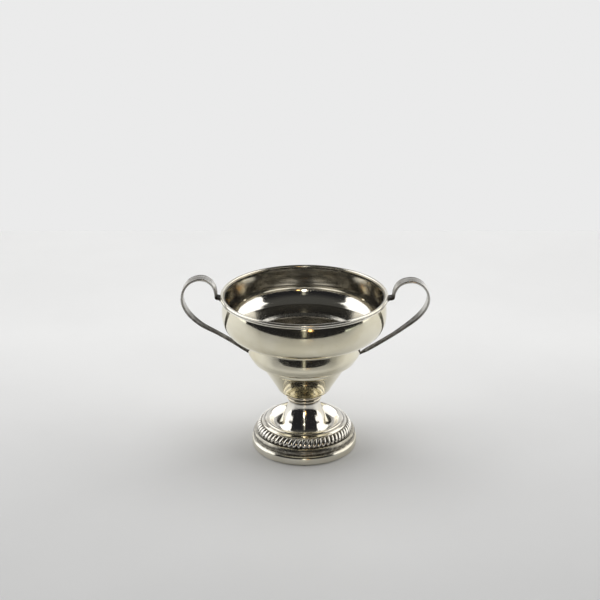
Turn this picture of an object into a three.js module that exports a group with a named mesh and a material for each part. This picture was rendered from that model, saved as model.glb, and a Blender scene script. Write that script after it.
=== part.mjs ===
// Open two-handled sugar bowl on a pedestal foot: a weighted foot, a stepped bowl spun from sheet
// silver, a moulded rim wire and two hand-bent strap handles.
// Millimetres, +Z up. The origin is on the axis of the bowl, on the plane that the foot stands on.
// +X runs through the right handle, and the front of the bowl faces -Y.

import * as THREE from 'three';

// ---- driving dimensions -------------------------------------------------------------------

const RIM_RADIUS = 44; // outside of the rim wire
const RIM_HEIGHT = 86.6; // top of the rim wire
const FOOT_RADIUS = 28.4; // widest circle of the foot ring

const SHELL_WALL = 0.8; // spun sheet of the bowl and of the foot
const JOINT_GAP = 0.35; // clearance left where two soldered pieces meet

const BELLY_NECK = [28.8, 61.9]; // radius and height of the groove under the belly
const BELLY_RADIUS = 43.3;
const BAND_RADIUS = 29.85;
const CUP_NECK = [22.5, 49.3]; // the groove under the middle band
const CUP_RADIUS = 23.1;
const BOWL_BOTTOM = 30.3; // underside of the bowl, where the collar meets it
const LIP_RADIUS = 41.9; // outside of the sheet at its upper edge, inside the rim wire
const LIP_HEIGHT = 84.6;

const COLLAR_HEIGHT = 3.6;
const COLLAR_RADIUS = 9.4;
const COLLAR_BOTTOM = BOWL_BOTTOM - JOINT_GAP - COLLAR_HEIGHT;
const STEM_TOP = COLLAR_BOTTOM - JOINT_GAP;
const STEM_RADIUS = 8.3;

const CREST = [19.6, 14.9]; // ring crest around the sunk floor of the foot
const BORDER_TOP = [23.3, 13.1]; // upper edge of the gadroon border
const BORDER_BOTTOM = [25.9, 8.95];
const LOBE_COUNT = 60;
const LOBE_DEPTH = 0.35;
const LOBE_SLANT = 0.065; // turn of a lobe from its top to its foot, in radians

const MOULDING_CENTRE = [25.6, 6.7];
const MOULDING_RADIUS = 1.9;
const FLANGE_HEIGHT = 4.6;
const SHELL_FOOT_RADIUS = 24.5; // outside of the sheet where it sits in the foot ring
const PLATE_HEIGHT = 0.5; // how far the base plate sits above the table
const PLATE_THICKNESS = 0.8;

const ROD_RADIUS = 1.8;
const ROD_BORE = ROD_RADIUS + JOINT_GAP;

const STRAP_WIDTH = 7; // over the top of the loop
const STRAP_RIM_WIDTH = 5.4; // where the strap meets the rim
const STRAP_END_WIDTH = 3.4; // along the lower arm, down to the band
const STRAP_THICKNESS = 1.1;
const STRAP_RIDGE = 0.15; // height of the ridge along the strap's outer face

// Centre lines of the two handles, as distance from the axis and height. They start at the rim
// and end on the middle band. The pair is bent by hand, so the two lines differ by about 1 mm.
const LEFT_LINE = [
  [44.5, 84.0], [45.9, 84.4], [46.2, 87.2], [47.6, 91.4], [51.0, 94.3], [55.2, 94.8], [59.8, 92.8],
  [62.9, 88.4], [63.7, 82.8], [61.3, 76.4], [54.9, 69.6], [44.5, 63.4], [34.4, 56.9], [29.0, 51.9],
];
const RIGHT_LINE = [
  [44.5, 83.8], [46.4, 84.3], [47.1, 87.6], [49.1, 91.3], [53.0, 93.4], [58.1, 93.4], [62.4, 90.7],
  [64.8, 85.5], [64.4, 80.8], [60.8, 74.7], [50.6, 65.9], [40.2, 58.8], [29.0, 51.0],
];

const ROUND = 40; // segments around a large ring
const FOOT_ROUND = 36;
const SMALL_ROUND = 24;

// ---- helpers ------------------------------------------------------------------------------

// An outline in the plane of radius and height. Each span is either a point, for a straight
// line, or { to, by: [control, control], steps } for a cubic curve.
function outline(start, ...spans) {
  const points = [new THREE.Vector2(...start)];
  for (const span of spans) {
    if (Array.isArray(span)) {
      points.push(new THREE.Vector2(...span));
      continue;
    }
    const controls = [...span.by, span.to].map((p) => new THREE.Vector2(...p));
    const curve = new THREE.CubicBezierCurve(points.at(-1), ...controls);
    points.push(...curve.getPoints(span.steps).slice(1));
  }
  return points;
}

// A circular arc with its angles in degrees, counted from the outward direction.
function arc(centre, radius, from, to, steps) {
  return Array.from({ length: steps + 1 }, (_, i) => {
    const angle = THREE.MathUtils.degToRad(from + ((to - from) * i) / steps);
    return [centre[0] + radius * Math.cos(angle), centre[1] + radius * Math.sin(angle)];
  });
}

// The line at a constant distance to the left of an open outline, mitred at its corners.
function offsetLine(points, distance) {
  return points.map((point, i) => {
    const before = points[Math.max(i - 1, 0)];
    const after = points[Math.min(i + 1, points.length - 1)];
    const incoming = point.clone().sub(i > 0 ? before : point);
    const outgoing = after.clone().sub(point);
    const directions = [incoming, outgoing].filter((d) => d.length() > 0).map((d) => d.normalize());
    const along = directions.reduce((sum, d) => sum.add(d), new THREE.Vector2()).normalize();
    const stretch = distance / along.dot(directions[0]);
    return new THREE.Vector2(point.x - along.y * stretch, point.y + along.x * stretch);
  });
}

// A solid of revolution about Z from an outline that runs counter-clockwise.
function turned(points, segments) {
  return new THREE.LatheGeometry(points, segments).rotateX(Math.PI / 2);
}

// A closed ring turned from a section that doesn't reach the axis.
function ring(section, segments) {
  return turned([...section, section[0].clone()], segments);
}

const toVectors = (pairs) => pairs.map((pair) => new THREE.Vector2(...pair));

const silver = (color, roughness) => new THREE.MeshStandardMaterial({ color, roughness, metalness: 1 });

const model = new THREE.Group();

function add(name, geometry, material) {
  const mesh = new THREE.Mesh(geometry, material);
  mesh.name = name;
  model.add(mesh);
}

// ---- bowl ---------------------------------------------------------------------------------

// The outside of the bowl from the axis up to the lip: cup, middle band and belly, each one
// rounded over at its top and set back into a groove under the next.
function bowlOutside() {
  return outline(
    [0, BOWL_BOTTOM],
    [8.8, BOWL_BOTTOM],
    { by: [[12.2, BOWL_BOTTOM], [13.2, 31.8]], to: [14.3, 33.7], steps: 3 },
    { by: [[16.6, 38.0], [20.2, 42.8]], to: [22.3, 45.8], steps: 3 },
    { by: [[22.8, 46.5], [CUP_RADIUS, 47.3]], to: [CUP_RADIUS, 47.9], steps: 2 },
    CUP_NECK,
    [22.65, 49.45],
    { by: [[23.4, 49.1], [24.2, 48.9]], to: [25.0, 49.2], steps: 2 },
    { by: [[26.2, 49.7], [27.4, 50.8]], to: [28.1, 52.1], steps: 2 },
    { by: [[28.8, 53.4], [BAND_RADIUS, 53.9]], to: [BAND_RADIUS, 55.2], steps: 3 },
    { by: [[BAND_RADIUS, 57.0], [29.4, 59.6]], to: BELLY_NECK, steps: 3 },
    { by: [[29.0, 62.6], [29.6, 63.1]], to: [30.8, 63.2], steps: 2 },
    { by: [[32.8, 63.4], [35.0, 64.4]], to: [36.6, 65.1], steps: 2 },
    { by: [[40.9, 67.0], [BELLY_RADIUS, 71.0]], to: [BELLY_RADIUS, 75.8], steps: 6 },
    { by: [[BELLY_RADIUS, 78.8], [42.85, 81.6]], to: [LIP_RADIUS, LIP_HEIGHT], steps: 4 },
  );
}

function bowlShell() {
  const outside = bowlOutside();
  const inside = offsetLine(outside, SHELL_WALL);
  inside[0].x = 0;
  return turned([...outside, ...inside.reverse()], ROUND);
}

// The rim wire covers the edge of the sheet: a roll on top and a finer bead below it.
function rimWire() {
  const rollRadius = 0.85;
  const beadRadius = 0.6;
  const roll = [RIM_RADIUS - rollRadius - 0.15, RIM_HEIGHT - rollRadius];
  const bead = [RIM_RADIUS - beadRadius, RIM_HEIGHT - 1.85];
  const seat = LIP_RADIUS + JOINT_GAP + 0.3;
  const ledge = LIP_HEIGHT + JOINT_GAP;
  return ring(toVectors([
    [seat, bead[1] - beadRadius + 0.1],
    ...arc(bead, beadRadius, -90, 30, 4),
    ...arc(roll, rollRadius, -25, 190, 7),
    [seat, ledge],
  ]), ROUND);
}

// ---- collar, foot and weight --------------------------------------------------------------

// Two small beads with a hollow between them, bored for the reinforcing rod.
function collarRing() {
  const bead = 0.9;
  const top = COLLAR_BOTTOM + COLLAR_HEIGHT;
  const centre = COLLAR_RADIUS - bead;
  return ring(toVectors([
    [ROD_BORE, COLLAR_BOTTOM],
    ...arc([centre, COLLAR_BOTTOM + bead], bead, -90, 60, 4),
    ...arc([centre, top - bead], bead, -60, 90, 4),
    [ROD_BORE, top],
  ]), SMALL_ROUND);
}

// The outside of the foot's sheet from its lower edge up to the rod hole. Below BORDER_TOP it
// steps in, to carry the border and the foot ring on its outside.
function footOutside() {
  const dishEdge = [15.5, 11.3];
  const lowerEdge = PLATE_HEIGHT + PLATE_THICKNESS + JOINT_GAP;
  return outline(
    [SHELL_FOOT_RADIUS, lowerEdge],
    [SHELL_FOOT_RADIUS, BORDER_BOTTOM[1]],
    [22.9, 12.3],
    [BORDER_TOP[0] - 0.3, BORDER_TOP[1]],
    { by: [[22.4, 13.7], [21.6, 13.8]], to: [21.0, 14.2], steps: 2 },
    { by: [[20.6, 14.7], [20.2, CREST[1]]], to: CREST, steps: 2 },
    { by: [[18.0, CREST[1]], [17.2, dishEdge[1]]], to: dishEdge, steps: 5 },
    { by: [[13.4, dishEdge[1]], [12.4, 13.4]], to: [11.4, 16.0], steps: 4 },
    { by: [[9.9, 19.6], [8.5, 22.4]], to: [STEM_RADIUS, STEM_TOP], steps: 4 },
    [ROD_BORE, STEM_TOP],
  );
}

function footShell() {
  const outside = footOutside();
  const inside = offsetLine(outside, SHELL_WALL);
  inside.at(-1).x = ROD_BORE;
  inside[0].y = outside[0].y;
  return ring([...outside, ...inside.reverse()], FOOT_ROUND);
}

// Cement cast into the hollow foot around the rod.
function weightFiller() {
  const surface = offsetLine(footOutside(), SHELL_WALL + JOINT_GAP).filter((p) => p.x > ROD_BORE);
  const bore = ROD_BORE + 0.05;
  surface[0].y = PLATE_HEIGHT + PLATE_THICKNESS + JOINT_GAP;
  const top = surface.at(-1).y;
  return ring([...surface, new THREE.Vector2(bore, top), new THREE.Vector2(bore, surface[0].y)], SMALL_ROUND);
}

function reinforcingRod() {
  const bottom = PLATE_HEIGHT + PLATE_THICKNESS + 2 * JOINT_GAP;
  const top = BOWL_BOTTOM - JOINT_GAP;
  return turned(toVectors([[0, bottom], [ROD_RADIUS, bottom], [ROD_RADIUS, top], [0, top]]), SMALL_ROUND);
}

// The gadroon border: a convex ring with slanted lobes. The grid of the turned ring is twisted
// along the slant, so that every lobe follows one row of its points.
function gadroonBorder() {
  const samples = 3;
  const inner = 1.05;
  const [topRadius, topHeight] = BORDER_TOP;
  const [bottomRadius, bottomHeight] = BORDER_BOTTOM;
  const face = outline(BORDER_BOTTOM, { by: [[25.7, 10.6], [24.8, 12.3]], to: BORDER_TOP, steps: 4 });
  const section = [...face, new THREE.Vector2(topRadius, topHeight - 0.5),
    new THREE.Vector2(bottomRadius - inner, bottomHeight)];
  const geometry = ring(section, LOBE_COUNT * samples);
  const position = geometry.getAttribute('position');
  const point = new THREE.Vector3();
  for (let i = 0; i < position.count; i += 1) {
    point.fromBufferAttribute(position, i);
    const fall = (topHeight - point.z) / (topHeight - bottomHeight);
    const radius = Math.hypot(point.x, point.y);
    const angle = Math.atan2(point.y, point.x);
    const crown = Math.sin(Math.PI * THREE.MathUtils.clamp(fall, 0, 1));
    const onFace = radius > bottomRadius - inner + 0.01 && crown > 0.01;
    const swell = onFace ? LOBE_DEPTH * crown * (Math.cos(LOBE_COUNT * angle) - 1) * 0.5 : 0;
    const turnedAngle = angle - LOBE_SLANT * fall;
    point.x = (radius + swell) * Math.cos(turnedAngle);
    point.y = (radius + swell) * Math.sin(turnedAngle);
    position.setXYZ(i, point.x, point.y, point.z);
  }
  return geometry;
}

// Half-round moulding above a plain upright flange; the piece that stands on the table.
function footRing() {
  const inside = SHELL_FOOT_RADIUS + JOINT_GAP;
  return ring(toVectors([
    [inside, 0],
    [FOOT_RADIUS - 0.5, 0],
    [FOOT_RADIUS - 0.15, 0.35],
    [FOOT_RADIUS, FLANGE_HEIGHT - 2],
    [FOOT_RADIUS - 0.15, FLANGE_HEIGHT - 0.7],
    [FOOT_RADIUS - 1.3, FLANGE_HEIGHT + 0.3],
    ...arc(MOULDING_CENTRE, MOULDING_RADIUS, -50, 105, 6),
    [inside, MOULDING_CENTRE[1] + 1.7],
  ]), ROUND);
}

function basePlate() {
  const edge = SHELL_FOOT_RADIUS;
  const top = PLATE_HEIGHT + PLATE_THICKNESS;
  return turned(toVectors([[0, PLATE_HEIGHT], [edge, PLATE_HEIGHT], [edge, top], [0, top]]), ROUND);
}

// ---- handles ------------------------------------------------------------------------------

// Width of the strap at a distance from its upper end.
function strapWidth(distance, length) {
  const along = distance / length;
  const swell = THREE.MathUtils.smoothstep(along, 0, 0.15);
  const taper = THREE.MathUtils.smoothstep(along, 0.42, 0.75);
  const upper = THREE.MathUtils.lerp(STRAP_RIM_WIDTH, STRAP_WIDTH, swell);
  return THREE.MathUtils.lerp(upper, STRAP_END_WIDTH, taper);
}

// A flat strap with rounded edges and a low ridge, swept along a bent line in the XZ plane.
function strapHandle(line, side) {
  const steps = 36;
  const path = new THREE.CatmullRomCurve3(line.map(([r, z]) => new THREE.Vector3(r, 0, z)), false, 'centripetal');
  const length = path.getLength();
  const half = STRAP_THICKNESS / 2;
  const bevel = 0.35;
  const positions = [];
  const faces = [];
  for (let i = 0; i <= steps; i += 1) {
    const centre = path.getPointAt(i / steps);
    const tangent = path.getTangentAt(i / steps);
    const width = strapWidth((length * i) / steps, length) / 2;
    const section = [
      [half + STRAP_RIDGE, 0], [half, width - bevel], [half - bevel, width], [bevel - half, width],
      [-half, width - bevel], [-half, bevel - width], [bevel - half, -width], [half - bevel, -width],
      [half, bevel - width],
    ];
    for (const [out, across] of section) {
      positions.push(side * (centre.x - tangent.z * out), across, centre.z + tangent.x * out);
    }
  }
  const count = positions.length / 3 / (steps + 1);
  const addFace = (a, b, c) => faces.push(...(side > 0 ? [a, c, b] : [a, b, c]));
  for (let i = 0; i < steps; i += 1) {
    for (let j = 0; j < count; j += 1) {
      const a = i * count + j;
      const b = i * count + ((j + 1) % count);
      addFace(a, b, b + count);
      addFace(a, b + count, a + count);
    }
  }
  const last = steps * count;
  for (let j = 1; j < count - 1; j += 1) {
    addFace(0, j + 1, j);
    addFace(last, last + j, last + j + 1);
  }
  const geometry = new THREE.BufferGeometry();
  geometry.setAttribute('position', new THREE.Float32BufferAttribute(positions, 3));
  geometry.setIndex(faces);
  geometry.computeVertexNormals();
  return geometry;
}

// ---- assembly -----------------------------------------------------------------------------

add('bowl_shell', bowlShell(), silver(0xd2cbb8, 0.12));
add('rim_wire', rimWire(), silver(0xd8d2c2, 0.12));
add('handle_left', strapHandle(LEFT_LINE, -1), silver(0xa5a198, 0.3));
add('handle_right', strapHandle(RIGHT_LINE, 1), silver(0xa5a198, 0.3));
add('collar_ring', collarRing(), silver(0xb9ab8c, 0.18));
add('foot_shell', footShell(), silver(0xd2cbb8, 0.14));
add('gadroon_border', gadroonBorder(), silver(0xc4bda9, 0.2));
add('foot_ring', footRing(), silver(0xcac2ac, 0.15));
add('base_plate', basePlate(), silver(0xb4ad9c, 0.35));
add('reinforcing_rod', reinforcingRod(), silver(0x8b8b88, 0.5));
add('weight_filler', weightFiller(), new THREE.MeshStandardMaterial({
  color: 0xb8b0a0, roughness: 0.95, metalness: 0,
}));

export default model;
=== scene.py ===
import math

import bpy
import numpy as np
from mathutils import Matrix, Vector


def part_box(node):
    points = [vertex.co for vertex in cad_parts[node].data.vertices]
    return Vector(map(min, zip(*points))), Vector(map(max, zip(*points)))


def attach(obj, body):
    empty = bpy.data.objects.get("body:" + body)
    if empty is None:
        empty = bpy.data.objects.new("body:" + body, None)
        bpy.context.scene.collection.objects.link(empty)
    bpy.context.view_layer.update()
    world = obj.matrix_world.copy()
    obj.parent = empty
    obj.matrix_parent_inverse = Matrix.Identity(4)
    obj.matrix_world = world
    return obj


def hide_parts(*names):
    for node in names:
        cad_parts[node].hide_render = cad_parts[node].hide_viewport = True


# Looks for the open two-handled silver sugar bowl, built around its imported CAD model.
# Metres, +Z up. The origin is on the bowl's axis, on the plane that its foot stands on, and the
# front of the bowl faces -Y. Outlines are written in millimetres, as in the CAD, and scaled by MM.

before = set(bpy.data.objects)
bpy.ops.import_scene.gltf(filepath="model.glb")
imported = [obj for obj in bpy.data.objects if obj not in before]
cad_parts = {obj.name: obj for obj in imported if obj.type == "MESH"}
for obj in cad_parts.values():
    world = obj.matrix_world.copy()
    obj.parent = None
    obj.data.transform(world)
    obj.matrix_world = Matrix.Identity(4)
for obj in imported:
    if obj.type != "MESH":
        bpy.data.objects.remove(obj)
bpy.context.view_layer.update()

MM = 0.001
ROUND = 192  # segments around a turned piece

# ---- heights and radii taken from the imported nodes, in millimetres -------------------------------


def node_box(node):
    """Lowest and highest corner of a CAD node in millimetres."""
    low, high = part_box(node)
    return np.array(low) / MM, np.array(high) / MM


bowl_low, _ = node_box("bowl_shell")
rim_low, rim_high = node_box("rim_wire")
collar_low, collar_high = node_box("collar_ring")
foot_low, foot_high = node_box("foot_shell")
border_low, border_high = node_box("gadroon_border")
_, ring_high = node_box("foot_ring")
plate_low, plate_high = node_box("base_plate")

SHEET = 0.55  # gauge of the spun silver
FINE = 0.04  # spacing of points along an outline before it is thinned

# ---- outlines ------------------------------------------------------------------------------------


def outline(start, *spans):
    """Points of an outline in the plane of radius and height.

    A span is a point (r, z), for a straight line, or a tuple of three points, for a cubic curve.
    """
    points = [np.array(start, float)]
    for span in spans:
        if np.ndim(span) == 1:
            points.append(np.array(span, float))
            continue
        a = points[-1]
        b, c, d = (np.array(p, float) for p in span)
        for t in np.linspace(0, 1, 41)[1:]:
            u = 1 - t
            points.append(u**3 * a + 3 * u**2 * t * b + 3 * u * t**2 * c + t**3 * d)
    return np.array(points)


def arc(centre, radius, start, stop, count=24):
    """Points on a circular arc, with angles in degrees counted from the outward direction."""
    angles = np.radians(np.linspace(start, stop, count))
    return np.array(centre) + radius * np.column_stack([np.cos(angles), np.sin(angles)])


def resample(points, spacing, closed=False):
    """The same line with points at an even spacing."""
    if closed:
        points = np.vstack([points, points[:1]])
    steps = np.linalg.norm(np.diff(points, axis=0), axis=1)
    keep = np.concatenate([[True], steps > 1e-9])
    points = points[keep]
    along = np.concatenate([[0], np.cumsum(np.linalg.norm(np.diff(points, axis=0), axis=1))])
    count = max(8, int(round(along[-1] / spacing)))
    at = np.linspace(0, along[-1], count + 1)
    even = np.column_stack([np.interp(at, along, points[:, k]) for k in range(2)])
    return even[:-1] if closed else even


def soften(points, radius, closed=False):
    """Rounds the corners of an evenly spaced line with a Gaussian of that radius."""
    spacing = np.linalg.norm(points[1] - points[0])
    reach = max(1, int(3 * radius / spacing))
    offsets = np.arange(-reach, reach + 1)
    weights = np.exp(-0.5 * (offsets * spacing / radius) ** 2)
    weights /= weights.sum()
    if closed:
        padded = np.vstack([points[-reach:], points, points[:reach]])
    else:
        head = 2 * points[0] - points[reach:0:-1]
        tail = 2 * points[-1] - points[-2 : -reach - 2 : -1]
        padded = np.vstack([head, points, tail])
    return np.column_stack([np.convolve(padded[:, k], weights, mode="valid") for k in range(2)])


def normals_of(points, closed=False):
    """Unit normals to the right of the way along: outward for a counter-clockwise outline."""
    if closed:
        along = np.roll(points, -1, axis=0) - np.roll(points, 1, axis=0)
    else:
        along = np.gradient(points, axis=0)
    along /= np.linalg.norm(along, axis=1)[:, None]
    return np.column_stack([along[:, 1], -along[:, 0]])


def thin_out(points, normals, closed, turn=math.radians(3), reach=1.4):
    """Drops points of a nearly straight line, so that no step turns or runs much past turn or reach."""
    keep = [0]
    last = 0
    for i in range(1, len(points)):
        bend = math.acos(float(np.clip(normals[i] @ normals[last], -1, 1)))
        if bend > turn or np.linalg.norm(points[i] - points[last]) > reach:
            keep.append(i)
            last = i
    if not closed and keep[-1] != len(points) - 1:
        keep.append(len(points) - 1)
    return points[keep], normals[keep]


# ---- meshes --------------------------------------------------------------------------------------


def make_object(name, vertices, faces, normals=None, sharp=None):
    """A mesh object in metres from millimetre vertices, smooth, with its own normals where given."""
    mesh = bpy.data.meshes.new(name)
    mesh.from_pydata((np.asarray(vertices) * MM).tolist(), [], faces)
    mesh.update()
    mesh.polygons.foreach_set("use_smooth", [True] * len(mesh.polygons))
    if sharp is not None:
        mesh.set_sharp_from_angle(angle=math.radians(sharp))
    if normals is not None:
        mesh.normals_split_custom_set_from_vertices(np.asarray(normals).tolist())
    piece = bpy.data.objects.new(name, mesh)
    bpy.context.scene.collection.objects.link(piece)
    return piece


def set_attribute(piece, name, values):
    """A number at each vertex, which the piece's material reads."""
    attribute = piece.data.attributes.new(name, "FLOAT", "POINT")
    attribute.data.foreach_set("value", np.asarray(values, np.float32))


def grid_faces(rows, columns, closed):
    """Quads between neighbouring rows of points, each row a loop; closed joins the last to the first."""
    faces = []
    for i in range(rows if closed else rows - 1):
        a, b = i * columns, ((i + 1) % rows) * columns
        for j in range(columns):
            k = (j + 1) % columns
            faces.append((a + j, a + k, b + k, b + j))
    return faces


def spin(pairs):
    """ROUND points about Z for each (r, z) pair."""
    angles = np.arange(ROUND) * 2 * math.pi / ROUND
    r, z = pairs[:, :1], pairs[:, 1:]
    around = [r * np.cos(angles), r * np.sin(angles), np.repeat(z, ROUND, 1)]
    return np.stack(around, -1).reshape(-1, 3)


def turned(name, points, closed, radius, **fields):
    """A solid of revolution about Z from a counter-clockwise outline, with softened corners.

    An open outline starts and ends on the axis. Each field is a function of radius and height whose
    values the material reads, such as how dark the metal is painted there, for shade and for tarnish.
    """
    fine = soften(resample(points, FINE, closed), radius, closed)
    if not closed:
        fine[[0, -1], 0] = 0
    rows, row_normals = thin_out(fine, normals_of(fine, closed), closed=closed)
    if not closed:
        row_normals[0] = (0, math.copysign(1, row_normals[1][1]))
        row_normals[-1] = (0, math.copysign(1, row_normals[-2][1]))
    body = slice(None) if closed else slice(1, -1)
    vertices, normals = spin(rows[body]), spin(row_normals[body])
    count = len(rows[body])
    faces = grid_faces(count, ROUND, closed)
    if not closed:
        poles = np.array([[0, 0, rows[0, 1]], [0, 0, rows[-1, 1]]])
        first, last = len(vertices), len(vertices) + 1
        vertices = np.vstack([vertices, poles])
        normals = np.vstack([normals, [[0, 0, row_normals[0, 1]], [0, 0, row_normals[-1, 1]]]])
        top = (count - 1) * ROUND
        for j in range(ROUND):
            k = (j + 1) % ROUND
            faces.append((first, k, j))
            faces.append((last, top + j, top + k))
    piece = make_object(name, vertices, faces, normals=normals)
    radii = np.hypot(vertices[:, 0], vertices[:, 1])
    for field, values in fields.items():
        set_attribute(piece, field, values(radii, vertices[:, 2]))
    return piece


def smoothstep(x, low, high):
    """0 up to low, 1 from high on, and a smooth rise between."""
    t = np.clip((x - low) / (high - low), 0, 1)
    return t * t * (3 - 2 * t)


def near(distance, reach):
    """1 at distance 0, falling smoothly to 0 at reach."""
    return smoothstep(1 - np.abs(distance) / reach, 0, 1)


def near_point(r, z, point, reach):
    """The same, about a point of the outline."""
    return near(np.hypot(r - point[0], z - point[1]), reach)


# ---- bowl ----------------------------------------------------------------------------------------

CUP_NECK = (22.5, 49.3)  # radius and height of the groove under the middle band
BELLY_NECK = (28.9, 61.2)  # and of the groove under the belly
CUP_RADIUS = 23.1
BAND_RADIUS = 29.85
BELLY_RADIUS = 43.3
LIP_RADIUS = 42.0
BOWL_BOTTOM = bowl_low[2]
RIM_SEAT = 85.5  # the sheet's edge, inside the rim wire
COLLAR_EDGE = 7.5  # inside this radius the collar hides the bowl's underside
INSIDE_SHADE_FLOOR = (63.0, 66.0)  # heights inside, below the belly, where the painted shade deep in the bowl fades out
WALL_TARNISH = (74.0, 77.0)  # and where the upright wall's tarnish begins above it


def bowl_outside():
    """The bowl's outside from the axis up to the lip: cup, middle band and belly."""
    return outline(
        (0, BOWL_BOTTOM),
        (8.8, BOWL_BOTTOM),
        ((12.4, BOWL_BOTTOM), (14.0, 31.9), (15.0, 34.2)),
        ((17.1, 37.8), (20.4, 43.1), (22.3, 46.1)),
        ((22.8, 46.5), (CUP_RADIUS, 47.3), (CUP_RADIUS, 47.9)),
        ((CUP_RADIUS, 48.6), (22.7, 49.0), CUP_NECK),
        (22.65, 49.45),
        ((23.4, 49.3), (25.4, 49.3), (26.7, 49.8)),
        ((27.5, 50.1), (27.9, 50.8), (28.3, 51.6)),
        ((28.9, 52.8), (BAND_RADIUS, 53.7), (BAND_RADIUS, 55.2)),
        ((BAND_RADIUS, 56.4), (29.35, 58.8), BELLY_NECK),
        ((29.0, 62.0), (29.7, 62.5), (30.8, 62.8)),
        ((32.8, 63.4), (35.0, 64.1), (36.8, 64.9)),
        ((41.1, 66.8), (BELLY_RADIUS, 70.8), (BELLY_RADIUS, 75.8)),
        ((BELLY_RADIUS, 78.8), (42.85, 81.6), (LIP_RADIUS, 84.2)),
        (LIP_RADIUS, RIM_SEAT),
    )


OUTSIDE = bowl_outside()


def bowl_outline():
    """Both faces of the sheet as one line, from the axis out, over the lip and back to the axis."""
    outside = soften(resample(OUTSIDE, FINE), 0.16)
    outside[0, 0] = 0
    inside = outside - normals_of(outside) * SHEET
    inside = inside[inside[:, 0] > FINE / 2][::-1]
    return np.vstack([outside, inside, [[0, inside[-1, 1]]]])


def bowl_inside(r, z):
    """True on the sheet's inner face."""
    order = np.argsort(OUTSIDE[:, 1])
    return r < np.interp(z, OUTSIDE[order, 1], OUTSIDE[order, 0]) - SHEET / 2


def bowl_stain(r, z):
    # Painted shade in the two creases and where the collar meets the underside, and a painted shadow at the
    # lip, under the rim wire.
    creases = np.maximum(near_point(r, z, CUP_NECK, 0.8), 0.4 * near_point(r, z, BELLY_NECK, 1.0))
    lip = near(z - RIM_SEAT, 1.6)
    # Inside, the band and the cup are painted darker, as shade deep in the bowl,
    # and a little tarnish is left on the upright wall.
    low, high = INSIDE_SHADE_FLOOR
    inside_shade_and_tarnish = 0.5 * np.clip((high - z) / (high - low), 0, 1)
    low, high = WALL_TARNISH
    inside_shade_and_tarnish += 0.3 * np.clip((z - low) / (high - low), 0, 1)
    collar = near(z - BOWL_BOTTOM, 0.7) * (r > COLLAR_EDGE)
    return np.clip(creases * 0.6 + lip * 0.8 + collar * 0.9 + inside_shade_and_tarnish * bowl_inside(r, z), 0, 1)


bowl = turned(
    "bowl_shell_fine", bowl_outline(), closed=False, radius=0.05, stain=bowl_stain, inner=bowl_inside
)
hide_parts("bowl_shell")

# ---- rim wire ------------------------------------------------------------------------------------

RIM_RADIUS = rim_high[0]
RIM_HEIGHT = 86.6
RIM_BORE = 41.9  # inside radius, against the bowl's sheet
ROLL_RADIUS = 0.85
BEAD_RADIUS = 0.6
ROLL = (RIM_RADIUS - 1.0, RIM_HEIGHT - ROLL_RADIUS)
BEAD = (RIM_RADIUS - 0.65, RIM_HEIGHT - 1.85)

rim_outline = np.vstack([
    [(RIM_BORE, BEAD[1] - BEAD_RADIUS - 0.02)],
    arc(BEAD, BEAD_RADIUS, -90, 52),
    arc(ROLL, ROLL_RADIUS, -52, 215, 48),
    [(RIM_BORE, ROLL[1] - 0.3)],
])


def rim_stain(r, z):
    # Painted shade in the groove between the roll and the bead, and a painted shadow on the wire's
    # underside.
    groove = near(z - (RIM_HEIGHT - 1.42), 0.25) * (r > RIM_RADIUS - 0.8)
    underside = near(z - rim_low[2], 0.4)
    return np.clip(groove * 0.9 + underside * 0.8, 0, 1)


rim = turned("rim_wire_fine", rim_outline, closed=True, radius=0.07, stain=rim_stain)
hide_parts("rim_wire")

# ---- collar --------------------------------------------------------------------------------------

COLLAR_BOTTOM, COLLAR_TOP = collar_low[2], collar_high[2]
COLLAR_BORE = 2.2
COLLAR_BEAD = 0.9  # radius of each of its two beads
BEAD_CENTRE = 8.5
SOLDER = 0.35  # gap between the CAD solids, which solder fills

collar_outline = np.vstack([
    [(COLLAR_BORE, COLLAR_BOTTOM - SOLDER)],
    [(BEAD_CENTRE - 0.3, COLLAR_BOTTOM - SOLDER)],
    arc((BEAD_CENTRE, COLLAR_BOTTOM + COLLAR_BEAD), COLLAR_BEAD, -90, 60),
    arc((BEAD_CENTRE, COLLAR_TOP - COLLAR_BEAD), COLLAR_BEAD, -60, 90),
    [(BEAD_CENTRE - 0.3, COLLAR_TOP + SOLDER)],
    [(COLLAR_BORE, COLLAR_TOP + SOLDER)],
])


def collar_stain(r, z):
    # Painted shade in the groove between the two beads and at both ends, where the collar meets the bowl
    # and the stem.
    middle = near(z - (COLLAR_BOTTOM + COLLAR_TOP) / 2, 0.6)
    ends = near(z - COLLAR_BOTTOM, 0.5) + near(z - COLLAR_TOP, 0.5)
    return np.clip(middle + ends, 0, 1)


collar = turned("collar_ring_fine", collar_outline, closed=True, radius=0.07, stain=collar_stain)
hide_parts("collar_ring")

# ---- foot ----------------------------------------------------------------------------------------

STEM_TOP = foot_high[2]
ROD_HOLE = 2.15
DISH_EDGE = (15.5, 11.3)
CREST = (19.6, 14.9)
CREST_STEP = (21.1, 14.1)  # the crease outside the crest
BORDER_TOP = (23.3, border_high[2])
BORDER_BOTTOM = (border_high[0], border_low[2])
FOOT_SHEET_RADIUS = foot_high[0]


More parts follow.
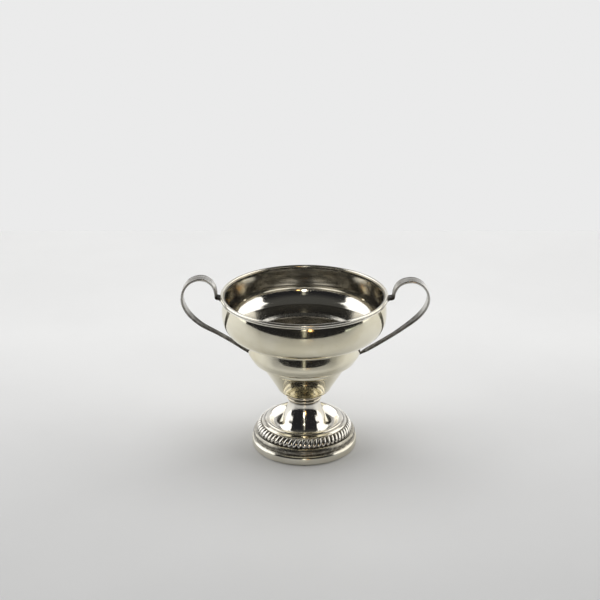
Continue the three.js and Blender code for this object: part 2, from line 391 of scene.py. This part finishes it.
def foot_outline():
    """The foot's sheet from its lower edge up over the stem to the rod's hole, and back inside."""
    outside = outline(
        (FOOT_SHEET_RADIUS, foot_low[2]),
        (FOOT_SHEET_RADIUS, BORDER_BOTTOM[1]),
        (22.9, 12.3),
        (BORDER_TOP[0] - 0.3, BORDER_TOP[1]),
        ((22.4, 13.7), (21.6, 13.8), (21.0, 14.2)),
        ((20.6, 14.7), (20.2, CREST[1]), CREST),
        ((18.0, CREST[1]), (17.2, DISH_EDGE[1]), DISH_EDGE),
        ((13.4, DISH_EDGE[1]), (12.4, 13.4), (11.4, 16.0)),
        ((9.9, 19.6), (8.5, 22.4), (8.3, STEM_TOP)),
        (ROD_HOLE, STEM_TOP),
    )
    fine = soften(resample(outside, FINE), 0.14)
    inside = (fine - normals_of(fine) * SHEET)[::-1]
    return np.vstack([fine, inside])


def foot_stain(r, z):
    # Painted shade in the dish, in the crease outside the crest, where the border meets the foot and where
    # the stem meets the collar.
    dish = near_point(r, z, DISH_EDGE, 2.2) * 0.35
    step = near_point(r, z, CREST_STEP, 0.7) * 0.8
    edge = near_point(r, z, BORDER_TOP, 0.6)
    stem = near(z - STEM_TOP, 0.8) * (r < 10)
    return np.clip(dish + step + edge + stem, 0, 1)


foot = turned("foot_shell_fine", foot_outline(), closed=True, radius=0.06, stain=foot_stain)
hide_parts("foot_shell")

# ---- foot ring and base plate --------------------------------------------------------------------

FOOT_RADIUS = ring_high[0]
RING_INSIDE = 24.85
MOULDING = (25.6, 6.7)

ring_outline = np.vstack([
    [(RING_INSIDE, 0), (FOOT_RADIUS - 0.55, 0), (FOOT_RADIUS - 0.12, 0.4), (FOOT_RADIUS, 2.4)],
    [(FOOT_RADIUS - 0.12, 3.7), (FOOT_RADIUS - 0.45, 4.35), (FOOT_RADIUS - 1.3, 4.85)],
    arc(MOULDING, 1.9, -50, 105, 40),
    [(RING_INSIDE, MOULDING[1] + 1.7)],
])


def ring_stain(r, z):
    # Painted shade in the step and where the border sits on the ring, and a painted contact shadow at the
    # table.
    step = near(np.hypot(r - (FOOT_RADIUS - 1.45), z - 4.95), 0.6)
    seat = near(z - 8.5, 0.5) * (r < 25.7)
    table = near(z, 0.5)
    # The moulding is painted dark: a painted dark reflection in place of the bright table it would mirror.
    moulding = near(z - 7.0, 2.8) * (r > 25.5)
    return np.clip(step * 0.9 + seat + table * 0.7 + moulding * 0.85, 0, 1)


ring = turned("foot_ring_fine", ring_outline, closed=True, radius=0.1, stain=ring_stain)
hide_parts("foot_ring")

PLATE_BOTTOM, PLATE_TOP = plate_low[2], plate_high[2]
PLATE_RADIUS = 24.86
SUNK_RINGS = (11.0, 16.0, 21.0)


def plate_underside():
    """The closing plate's underside from the axis out, with three sunk rings turned into it."""
    points = [(0, PLATE_BOTTOM + 0.3), (5.5, PLATE_BOTTOM + 0.3), (6.0, PLATE_BOTTOM)]
    for radius in SUNK_RINGS:
        points += [(radius - 0.9, PLATE_BOTTOM), (radius - 0.45, PLATE_BOTTOM + 0.28)]
        points += [(radius + 0.45, PLATE_BOTTOM + 0.28), (radius + 0.9, PLATE_BOTTOM)]
    return points + [(24.1, PLATE_BOTTOM), (PLATE_RADIUS, PLATE_BOTTOM + 0.25)]


def plate_stain(r, z):
    # Painted shade on the underside that faces the table, deeper in the sunk rings and at the edge.
    rings = sum(near(r - radius, 1.0) for radius in SUNK_RINGS)
    return np.clip(0.15 + 0.6 * rings + near(r - 24.8, 0.8), 0, 1)


plate_outline = np.array(plate_underside() + [(PLATE_RADIUS, PLATE_TOP), (0, PLATE_TOP)], float)
plate = turned("base_plate_fine", plate_outline, closed=False, radius=0.1, stain=plate_stain)
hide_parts("base_plate")

# ---- gadroon border ------------------------------------------------------------------------------

LOBES = 60
LOBE_DEPTH = 0.48
LOBE_SLANT = 0.065  # turn of a lobe from its top to its foot, in radians
LOBE_SAMPLES = 20  # columns across a lobe
LOBE_START = 0.05  # shares of the way down the ring's face: where a lobe starts,
LOBE_WIDEST = 0.62  # where it is widest
LOBE_END = 0.96  # and where its round foot ends
GROOVE = 0.01  # width of a lobe where there is none
FACE_ROWS = 34


def lobe_width(v):
    """Width of a lobe as a share of its pitch, at a share v of the way down the face."""
    if not LOBE_START < v < LOBE_END:
        return GROOVE
    if v > LOBE_WIDEST:
        fall = (v - LOBE_WIDEST) / (LOBE_END - LOBE_WIDEST)
        return 0.95 * math.sqrt(max(1e-4, 1 - fall**2))
    return 0.5 + 0.45 * (v / LOBE_WIDEST) ** 0.7


def gadroon_border():
    """Slanted teardrop lobes with round feet, raised between narrow grooves on a convex ring."""
    face = outline(BORDER_BOTTOM, ((25.7, 10.6), (24.8, 12.3), BORDER_TOP))
    face_length = np.linalg.norm(np.diff(face, axis=0), axis=1).sum()
    face = resample(face, face_length / FACE_ROWS)
    face_normals = normals_of(face)
    down = np.linspace(1, 0, len(face))  # 1 at the foot of the lobes, 0 at their top
    back = np.array([(BORDER_TOP[0] - 0.4, BORDER_TOP[1] - 0.45), (24.5, BORDER_BOTTOM[1] + 0.05)])
    columns = LOBES * LOBE_SAMPLES
    angles = np.arange(columns) * 2 * math.pi / columns
    across = 2 * ((angles * LOBES / (2 * math.pi)) % 1) - 1
    vertices, stain = [], []
    for (r, z), (nr, nz), v in zip(face, face_normals, down):
        crown = np.sqrt(np.clip(1 - (across / lobe_width(v)) ** 2, 0, 1))
        swell = 0.82 + 0.18 * math.sin(math.pi * min(1, v * 1.1))
        edge = near(v, LOBE_START) + near(v - 1, 0.03)  # the ring's plain edges
        raised = np.maximum(crown * swell, edge)
        sink = LOBE_DEPTH * (raised - 1)
        turn = angles - LOBE_SLANT * v
        rr = r + nr * sink
        vertices.append(np.column_stack([rr * np.cos(turn), rr * np.sin(turn), z + nz * sink]))
        # Painted shade in the grooves between the lobes.
        stain.append(np.clip(1.15 - 1.6 * raised, 0, 1))
    for i, (r, z) in enumerate(back):  # the plain back, from its top to its bottom
        turn = angles - LOBE_SLANT * i
        vertices.append(np.column_stack([r * np.cos(turn), r * np.sin(turn), np.full(columns, z)]))
        # The hidden back is painted fully dark, as shade.
        stain.append(np.ones(columns))
    faces = grid_faces(len(vertices), columns, closed=True)
    piece = make_object("gadroon_border_fine", np.vstack(vertices), faces, sharp=60)
    set_attribute(piece, "stain", np.concatenate(stain))
    return piece


border = gadroon_border()
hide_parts("gadroon_border")

# ---- handles -------------------------------------------------------------------------------------

STRAP_WIDTH = 7.0
STRAP_RIM_WIDTH = 5.4
STRAP_END_WIDTH = 3.4
STRAP_THICKNESS = 1.1
STRAP_CORNER = 0.3  # radius of its four edges
STRAP_RIDGE = 0.15  # height of the ridge along the middle of its outer face
STRAP_BEAD = 0.12  # and of the fine bead along each edge
STRAP_HOLLOW = 0.05  # how far its inner face is sunk
STRAP_FLARE = 0.4  # how far solder swells it at the rim
TIP = 0.3  # share of its thickness that is left at the lower tip
STRAP_STEPS = 200

# Centre lines as distance from the axis and height. They start on the rim wire and run on to the
# band, where the lower tip is soldered.
LEFT_LINE = [
    (42.6, 83.6), (44.5, 84.0), (45.9, 84.4), (46.2, 87.2), (47.6, 91.4), (51.0, 94.3), (55.2, 94.8),
    (59.8, 92.8), (62.9, 88.4), (63.7, 82.8), (61.3, 76.4), (54.9, 69.6), (44.5, 63.4), (34.4, 56.9),
    (28.35, 52.0), (26.8, 50.4),
]
RIGHT_LINE = [
    (42.6, 83.4), (44.5, 83.8), (46.4, 84.3), (47.1, 87.6), (49.1, 91.3), (53.0, 93.4), (58.1, 93.4),
    (62.4, 90.7), (64.8, 85.5), (64.4, 80.8), (60.8, 74.7), (50.6, 65.9), (40.2, 58.8), (28.4, 51.5),
    (26.5, 50.2),
]


def centripetal(points, samples=60):
    """A centripetal Catmull-Rom curve through the points."""
    points = np.array(points, float)
    padded = np.vstack([2 * points[0] - points[1], points, 2 * points[-1] - points[-2]])
    line = []
    for a, b, c, d in zip(padded, padded[1:], padded[2:], padded[3:]):
        steps = [np.linalg.norm(q - p) ** 0.5 for p, q in ((a, b), (b, c), (c, d))]
        knots = np.cumsum([0] + steps)
        t = np.linspace(knots[1], knots[2], samples, endpoint=False)[:, None]

        def blend(p, q, low, high):
            return ((high - t) * p + (t - low) * q) / (high - low)

        ab = blend(a, b, knots[0], knots[1])
        bc = blend(b, c, knots[1], knots[2])
        cd = blend(c, d, knots[2], knots[3])
        first = blend(ab, bc, knots[0], knots[2])
        second = blend(bc, cd, knots[1], knots[3])
        line.append(blend(first, second, knots[1], knots[2]))
    return np.vstack(line + [points[-1:]])


def strap_section(half_width):
    """(out, across) points around the strap: a ridged outer face with a fine bead at each edge."""
    half = STRAP_THICKNESS / 2
    across = np.array([0, 0.15, 0.3, 0.45, 0.58, 0.68, 0.76, 0.82, 0.88, 0.93])
    ridge = STRAP_RIDGE * (1 - across / 0.7).clip(0) ** 1.3
    bead = STRAP_BEAD * near(across - 0.86, 0.12)
    upper = np.column_stack([half + np.maximum(ridge, bead) - 0.02, across * half_width])
    edge = arc((0, 0), STRAP_CORNER, 80, -80, 9)
    turned_edge = np.column_stack([
        np.sign(edge[:, 1]) * (half - STRAP_CORNER) + edge[:, 1], half_width - STRAP_CORNER + edge[:, 0]
    ])
    across = np.array([0.9, 0.7, 0.45, 0.2, 0])
    lower = np.column_stack([-half + STRAP_HOLLOW * (1 - across**2), across * half_width])
    side = np.vstack([upper, turned_edge, lower])
    mirrored = side[1:-1][::-1] * [1, -1]
    return np.vstack([side, mirrored])


def strap_painted_shade(s, length):
    """How dark the strap is painted a distance s along it, as shade and dark reflections: at the rim, on
    the lower arm and at the band.
    """
    rim_end = 1 - smoothstep(s, 4.0, 9.0)
    arm = 0.8 * smoothstep(s / length, 0.36, 0.6)
    band_end = 1 - smoothstep(length - s, 6.0, 12.0)
    return max(rim_end, arm, band_end)


def strap_handle(name, line, side):
    """The strap swept along its line: swelled by solder at the rim, and thinned to a tip at the band."""
    path = centripetal(line)
    along = np.concatenate([[0], np.cumsum(np.linalg.norm(np.diff(path, axis=0), axis=1))])
    length = along[-1]
    # Steps crowd towards the two soldered ends.
    share = np.linspace(0, 1, STRAP_STEPS + 1)
    share = share - 0.5 * np.sin(2 * math.pi * share) / (2 * math.pi)
    at = share * length
    centres = np.column_stack([np.interp(at, along, path[:, k]) for k in range(2)])
    tangents = np.gradient(centres, at, axis=0)
    tangents /= np.linalg.norm(tangents, axis=1)[:, None]
    upper = STRAP_RIM_WIDTH + (STRAP_WIDTH - STRAP_RIM_WIDTH) * smoothstep(share, 0, 0.15)
    width = upper + (STRAP_END_WIDTH - upper) * smoothstep(share, 0.42, 0.75)
    vertices, stain = [], []
    for centre, tangent, wide, s in zip(centres, tangents, width, at):
        section = strap_section(wide / 2)
        thickness = TIP + (1 - TIP) * smoothstep(length - s, 1.0, 9.0)
        flare = STRAP_FLARE * near(s - 0.8, 1.6) ** 2
        grown = section * [thickness, TIP + (1 - TIP) * thickness] + np.sign(section) * flare
        out, across = grown[:, 0], grown[:, 1]
        x = centre[0] - tangent[1] * out
        z = centre[1] + tangent[0] * out
        vertices.append(np.column_stack([side * x, across, z]))
        # How dark the strap is painted here, standing in for shade and dark reflections.
        stain.append(np.full(len(section), strap_painted_shade(s, length)))
    rows, count = len(vertices), len(vertices[0])
    start = tuple(range(count))
    end = tuple(range((rows - 1) * count, rows * count))
    faces = grid_faces(rows, count, closed=False) + [start[::-1], end]
    if side > 0:
        faces = [face[::-1] for face in faces]
    piece = make_object(name, np.vstack(vertices), faces, sharp=50)
    set_attribute(piece, "stain", np.concatenate(stain))
    return piece


left = strap_handle("handle_left_fine", LEFT_LINE, -1)
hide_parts("handle_left")
right = strap_handle("handle_right_fine", RIGHT_LINE, 1)
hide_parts("handle_right")

# ---- materials -----------------------------------------------------------------------------------


class Nodes:
    """A short way to write node trees."""

    def __init__(self, tree):
        self.tree = tree
        tree.nodes.clear()

    def add(self, kind, inputs=None, **settings):
        node = self.tree.nodes.new(kind)
        for key, value in settings.items():
            setattr(node, key, value)
        for key, value in (inputs or {}).items():
            self.put(node.inputs[key], value)
        return node

    def put(self, socket, value):
        if isinstance(value, bpy.types.NodeSocket):
            self.tree.links.new(value, socket)
        elif isinstance(value, bpy.types.Node):
            self.tree.links.new(value.outputs[0], socket)
        else:
            socket.default_value = value

    def math(self, operation, a, b=0.0, clamp=False):
        return self.add("ShaderNodeMath", {0: a, 1: b}, operation=operation, use_clamp=clamp)

    def ramp(self, value, low, high, to_low=0.0, to_high=1.0):
        """A smooth change from to_low to to_high, between two values."""
        return self.add(
            "ShaderNodeMapRange",
            {"Value": value, "From Min": low, "From Max": high, "To Min": to_low, "To Max": to_high},
            interpolation_type="SMOOTHSTEP",
        )

    def mix(self, factor, a, b):
        node = self.add("ShaderNodeMix", data_type="RGBA")
        self.put(node.inputs["Factor"], factor)
        self.put(node.inputs["A"], a)
        self.put(node.inputs["B"], b)
        return node.outputs["Result"]

    def noise(self, vector, scale, detail=2.0, roughness=0.5):
        return self.add(
            "ShaderNodeTexNoise",
            {"Vector": vector, "Scale": scale, "Detail": detail, "Roughness": roughness},
        ).outputs["Fac"]

    def attribute(self, name):
        """A number that set_attribute gave the mesh."""
        node = self.add("ShaderNodeAttribute", attribute_name=name, attribute_type="GEOMETRY")
        return node.outputs["Fac"]

    def bump(self, height, distance, strength=1.0, under=None):
        """A bump, on top of another one where given."""
        node = self.add("ShaderNodeBump", {"Height": height, "Strength": strength, "Distance": distance})
        if under is not None:
            self.put(node.inputs["Normal"], under)
        return node


class MaterialNodes(Nodes):
    """The nodes of a new material, which start from the piece's own coordinates."""

    def __init__(self, name):
        self.material = bpy.data.materials.new(name)
        self.material.use_nodes = True
        super().__init__(self.material.node_tree)
        self.place = self.add("ShaderNodeTexCoord").outputs["Object"]

    def finish(self, inputs):
        """Puts the inputs on the shader and returns the material."""
        shader = self.add("ShaderNodeBsdfPrincipled", inputs)
        self.add("ShaderNodeOutputMaterial", {"Surface": shader})
        return self.material


# Near black: the colour of painted shade in creases, under edges and between parts, and of tarnish.
SHADE_AND_TARNISH_DARK = (0.045, 0.038, 0.03, 1)
INNER = (0.85, 0.82, 0.76, 1)  # the inside of the bowl is less yellow than its outside
DENT_DEPTH = 0.00011
SPINNING_DEPTH = 0.0000006
SCRATCH_DEPTH = 0.000002
SCRATCHES = [  # turn, scale along the scratches and scale across them, for each direction they run in
    ((0.4, 0.9, 0.2), 0.035, 2100),
    ((1.9, 0.3, 1.2), 0.05, 2550),
    ((0.8, 2.2, 2.6), 0.04, 3000),
]


def silver(name, color, tarnish, roughness, spun=True, tarnish_share=0.5, inner_color=None):
    """Old polished silver: cloudy tarnish, painted shade and tarnish in recesses, fine lines and scratches,
    and soft dents.
    """
    n = MaterialNodes(name)
    x, y, z = n.add("ShaderNodeSeparateXYZ", {0: n.place}).outputs
    cloud = n.noise(n.place, 55, 3, 0.55)
    mottle = n.noise(n.place, 420, 4, 0.6)
    worn_stain = n.math("MULTIPLY", n.attribute("stain"), n.ramp(mottle, 0.25, 0.6, 0.55, 1.0))

    if spun:
        angle = n.math("ARCTAN2", y, x)
        radius = n.math("SQRT", n.math("ADD", n.math("MULTIPLY", x, x), n.math("MULTIPLY", y, y)))
        lines_at = n.add("ShaderNodeCombineXYZ", {0: n.math("MULTIPLY", angle, 0.006), 1: z, 2: radius})
    else:
        lines_at = n.add("ShaderNodeMapping", {"Vector": n.place, "Scale": (0.12, 1.0, 0.12)})
    lines = n.noise(lines_at, 5200, 2, 0.6)

    scratches = 0.0
    for turn, along, across in SCRATCHES:
        scratch_at = n.add("ShaderNodeMapping", {
            "Vector": n.place, "Rotation": turn, "Scale": (1.0, along, 1.0),
        })
        streak = n.ramp(n.noise(scratch_at, across, 1, 0.5), 0.665, 0.70)
        scratches = n.math("MAXIMUM", scratches, streak)

    cloudy = n.ramp(cloud, 0.38, 0.66, 0.0, tarnish_share)
    spots = n.math("MULTIPLY", n.ramp(mottle, 0.60, 0.74), 0.35)
    tone = n.mix(n.math("ADD", cloudy, spots, clamp=True), color, tarnish)
    if inner_color is not None:
        tone = n.mix(n.math("MULTIPLY", n.attribute("inner"), 0.8), tone, inner_color)
    # Painted shade and tarnish: the colour goes towards near black where the mesh's darkening is high.
    tone = n.mix(worn_stain, tone, SHADE_AND_TARNISH_DARK)

    rough = n.math("ADD", roughness, n.math("MULTIPLY", cloudy, 0.05))
    rough = n.math("ADD", rough, n.math("MULTIPLY", scratches, 0.10))
    rough = n.math("ADD", rough, n.ramp(lines, 0.3, 0.7, -0.015, 0.02))
    rough = n.math("ADD", rough, n.math("MULTIPLY", worn_stain, 0.3))

    surface = n.bump(n.noise(n.place, 75, 1, 0.4), DENT_DEPTH)
    surface = n.bump(lines, SPINNING_DEPTH, under=surface)
    surface = n.bump(scratches, SCRATCH_DEPTH, under=surface)
    return n.finish({"Base Color": tone, "Roughness": rough, "Metallic": 1.0, "Normal": surface})


def dress(piece, material):
    """Gives the piece this material alone."""
    piece.data.materials.clear()
    piece.data.materials.append(material)


PALE = (0.86, 0.83, 0.76, 1)
WARM = (0.72, 0.64, 0.47, 1)
KHAKI = (0.81, 0.77, 0.63, 1)
BRASSY = (0.66, 0.60, 0.42, 1)
LOOKS = [  # piece; material; clean and tarnished colour; roughness; what else differs
    (bowl, "polished_silver_bowl", KHAKI, BRASSY, 0.055, {"inner_color": INNER}),
    (rim, "polished_silver_rim", (0.88, 0.85, 0.77, 1), WARM, 0.16, {}),
    (collar, "polished_silver_collar", (0.80, 0.74, 0.62, 1), (0.55, 0.44, 0.28, 1), 0.10, {}),
    (foot, "polished_silver_foot", PALE, WARM, 0.07, {}),
    (ring, "polished_silver_ring", (0.80, 0.77, 0.68, 1), (0.62, 0.56, 0.42, 1), 0.08, {}),
    (border, "chased_silver_border", (0.84, 0.82, 0.77, 1), (0.62, 0.56, 0.44, 1), 0.13, {"spun": False}),
    (plate, "dull_silver_plate", (0.70, 0.67, 0.60, 1), (0.46, 0.38, 0.27, 1), 0.3, {"tarnish_share": 0.8}),
]
for piece, name, clean, tarnished, roughness, more in LOOKS:
    dress(piece, silver(name, clean, tarnished, roughness, **more))
# The handles' silver is much darker than the rest: tarnish, with a painted dark reflection on top.
handle_metal_painted_dark = silver(
    "tarnished_silver_handle_painted_dark", (0.58, 0.57, 0.54, 1), (0.28, 0.26, 0.23, 1), 0.24,
    spun=False, tarnish_share=0.9,
)
dress(left, handle_metal_painted_dark)
dress(right, handle_metal_painted_dark)


def rod_steel():
    """Drawn steel rod with a thin brown film of rust."""
    n = MaterialNodes("drawn_steel_rod")
    draw = n.noise(n.add("ShaderNodeMapping", {"Vector": n.place, "Scale": (1, 1, 0.03)}), 4200)
    rust = n.ramp(n.noise(n.place, 350, 5, 0.65), 0.52, 0.68)
    return n.finish({
        "Base Color": n.mix(rust, (0.48, 0.48, 0.47, 1), (0.23, 0.12, 0.06, 1)),
        "Metallic": n.ramp(rust, 0, 1, 1.0, 0.1),
        "Roughness": n.ramp(rust, 0, 1, 0.35, 0.85),
        "Normal": n.bump(draw, 0.00001, strength=0.6),
    })


def cast_cement():
    """Grey cement with sand grains and air pits."""
    n = MaterialNodes("cast_cement_filler")
    grains = n.add("ShaderNodeTexVoronoi", {"Vector": n.place, "Scale": 900}, feature="F1")
    grain = grains.outputs["Distance"]
    cloud = n.noise(n.place, 180, 5, 0.6)
    tone = n.mix(n.ramp(cloud, 0.35, 0.65), (0.62, 0.59, 0.53, 1), (0.76, 0.73, 0.67, 1))
    height = n.math("ADD", grain, n.math("MULTIPLY", cloud, 0.8))
    return n.finish({
        "Base Color": n.mix(n.ramp(grain, 0.0, 0.25, 0.5, 0.0), tone, (0.40, 0.37, 0.33, 1)),
        "Roughness": n.ramp(cloud, 0.3, 0.7, 0.88, 0.98),
        "Normal": n.bump(height, 0.0002, strength=0.8),
    })


dress(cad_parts["reinforcing_rod"], rod_steel())
dress(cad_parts["weight_filler"], cast_cement())

for piece in (bowl, rim, collar, foot, ring, border, plate, left, right):
    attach(piece, "root")

# ---- table, room and camera ----------------------------------------------------------------------

TABLE_BACK = 0.362
TABLE_FRONT = -0.45
TABLE_SIDE = 1.6
TABLE_THICKNESS = 0.02
TABLE_EASE = 0.002


def table_top():
    """A pale slab with eased edges, painted darker towards the front as a falloff of the light, its top in
    the plane of the foot.
    """
    section = [
        (TABLE_FRONT, -TABLE_THICKNESS), (TABLE_BACK, -TABLE_THICKNESS),
        (TABLE_BACK, -TABLE_EASE), (TABLE_BACK - TABLE_EASE, 0),
        (TABLE_FRONT + TABLE_EASE, 0), (TABLE_FRONT, -TABLE_EASE),
    ]
    vertices = [(side * TABLE_SIDE / MM, y / MM, z / MM) for side in (-1, 1) for y, z in section]
    count = len(section)
    faces = [(j, j + count, (j + 1) % count + count, (j + 1) % count) for j in range(count)]
    faces += [tuple(range(count)), tuple(range(2 * count - 1, count - 1, -1))]
    top = make_object("table_top", vertices, faces, sharp=30)
    n = MaterialNodes("pale_table")
    cloud = n.noise(n.place, 6, 4, 0.55)
    depth = n.add("ShaderNodeSeparateXYZ", {0: n.place}).outputs[1]
    # Painted shade: the grey falls off towards the front, where less light reaches.
    grey_with_painted_falloff = n.add("ShaderNodeMapRange", {
        "Value": depth, "From Min": -0.20, "From Max": 0.15, "To Min": 0.60, "To Max": 0.86,
    })
    grey_with_painted_falloff = n.math("MULTIPLY", grey_with_painted_falloff, n.ramp(cloud, 0.3, 0.7, 0.96, 1.0))
    tone = n.add("ShaderNodeCombineColor", {0: grey_with_painted_falloff, 1: grey_with_painted_falloff, 2: grey_with_painted_falloff})
    dress(top, n.finish({"Base Color": tone, "Roughness": 0.35, "Specular IOR Level": 0.2}))
    return top


table_top()

world = bpy.data.worlds.new("studio")
bpy.context.scene.world = world
world.use_nodes = True
w = Nodes(world.node_tree)
direction = w.add("ShaderNodeTexCoord").outputs["Generated"]
dx, dy, dz = w.add("ShaderNodeSeparateXYZ", {0: direction}).outputs
azimuth = w.math("ARCTAN2", dx, w.math("MULTIPLY", dy, -1.0))  # 0 towards the camera's side
elevation = w.math("ARCSINE", dz)


def sweep(value, low, high, to_low=0.0, to_high=1.0):
    """A smooth change from to_low to to_high, between two angles in degrees."""
    return w.ramp(value, math.radians(low), math.radians(high), to_low, to_high)


def window(value, low, high, soft):
    """1 where the value is between low and high degrees, with soft edges."""
    rise = sweep(value, low - soft, low + soft)
    fall = sweep(value, high - soft, high + soft, 1.0, 0.0)
    return w.math("MULTIPLY", rise, fall)


DARK_ROOM = (0.018, 0.018, 0.020, 1)
CEILING = (0.065, 0.065, 0.062, 1)
BACK_WALL = (0.75, 0.75, 0.75, 1)
SEEN_WALL = (0.83, 0.83, 0.83, 1)  # what the camera itself sees behind the table
SOFTBOX = (1.5, 1.5, 1.48, 1)
PANELS = [  # azimuth from, to; elevation from, to; soft edge; colour times strength
    (57, 80, -12, -3, 2.0, (1.0, 1.08, 0.96, 1)),  # a low strip at the right
    (-2.0, 2.0, -7, 40, 2.0, (0.62, 0.60, 0.50, 1)),  # a narrow upright strip
    (-3.5, 2.5, 9, 17, 1.2, (7.0, 6.7, 5.9, 1)),  # a lamp
    (6, 10.5, 6, 13, 1.2, (5.0, 3.1, 1.2, 1)),  # and a warmer lamp at its right
]

# The two softboxes at the sides. Their inner edges are 20 degrees further out near the horizon, and
# lean outwards again, by 18 degrees, towards the top.
sideways = w.math("ABSOLUTE", azimuth)
near_horizon = sweep(elevation, 5, 13, math.radians(20), 0.0)
lean = sweep(elevation, 22, 58, 0.0, math.radians(18))
from_edge = w.math("SUBTRACT", sideways, w.math("ADD", near_horizon, lean))
softboxes = w.math("MULTIPLY", window(from_edge, 66, 136, 1.5), window(elevation, -15, 57, 2.5))
behind = sweep(sideways, 128, 146)
low_wall = sweep(elevation, 28, 40, 1.0, 0.0)
light = w.mix(sweep(elevation, 25, 60), DARK_ROOM, CEILING)
light = w.mix(w.math("MULTIPLY", behind, low_wall), light, BACK_WALL)
light = w.mix(softboxes, light, SOFTBOX)
for az0, az1, el0, el1, soft, color in PANELS:
    mask = w.math("MULTIPLY", window(azimuth, az0, az1, soft), window(elevation, el0, el1, soft))
    light = w.mix(mask, light, color)

room = w.add("ShaderNodeBackground", {"Color": light, "Strength": 1.0})
wall = w.add("ShaderNodeBackground", {"Color": SEEN_WALL, "Strength": 1.0})
seen = w.add("ShaderNodeLightPath").outputs["Is Camera Ray"]
w.add("ShaderNodeOutputWorld", {"Surface": w.add("ShaderNodeMixShader", {0: seen, 1: room, 2: wall})})

OVERHEAD_SIZE = 1.2
OVERHEAD_POWER = 9.6
OVERHEAD_PLACE = (0, 0.25, 1.2)

overhead_data = bpy.data.lights.new("overhead", "AREA")
overhead_data.shape = "SQUARE"
overhead_data.size = OVERHEAD_SIZE
overhead_data.energy = OVERHEAD_POWER
overhead = bpy.data.objects.new("overhead", overhead_data)
overhead.location = OVERHEAD_PLACE
overhead.visible_glossy = False
overhead.visible_camera = False
bpy.context.scene.collection.objects.link(overhead)

CAMERA_DISTANCE = 0.6323
CAMERA_HEIGHT = 0.3326
CAMERA_PITCH = 21.57  # degrees below the horizon
CAMERA_LENS = 78  # millimetres, for a sensor 36 mm wide

camera_data = bpy.data.cameras.new("camera")
camera_data.lens = CAMERA_LENS
camera_data.sensor_width = 36
camera_data.shift_x = -0.007
camera_data.clip_start = 0.01
camera = bpy.data.objects.new("camera", camera_data)
camera.location = (0, -CAMERA_DISTANCE, CAMERA_HEIGHT)
camera.rotation_euler = (math.radians(90 - CAMERA_PITCH), 0, 0)
bpy.context.scene.collection.objects.link(camera)
bpy.context.scene.camera = camera
bpy.context.scene.view_settings.view_transform = "Standard"
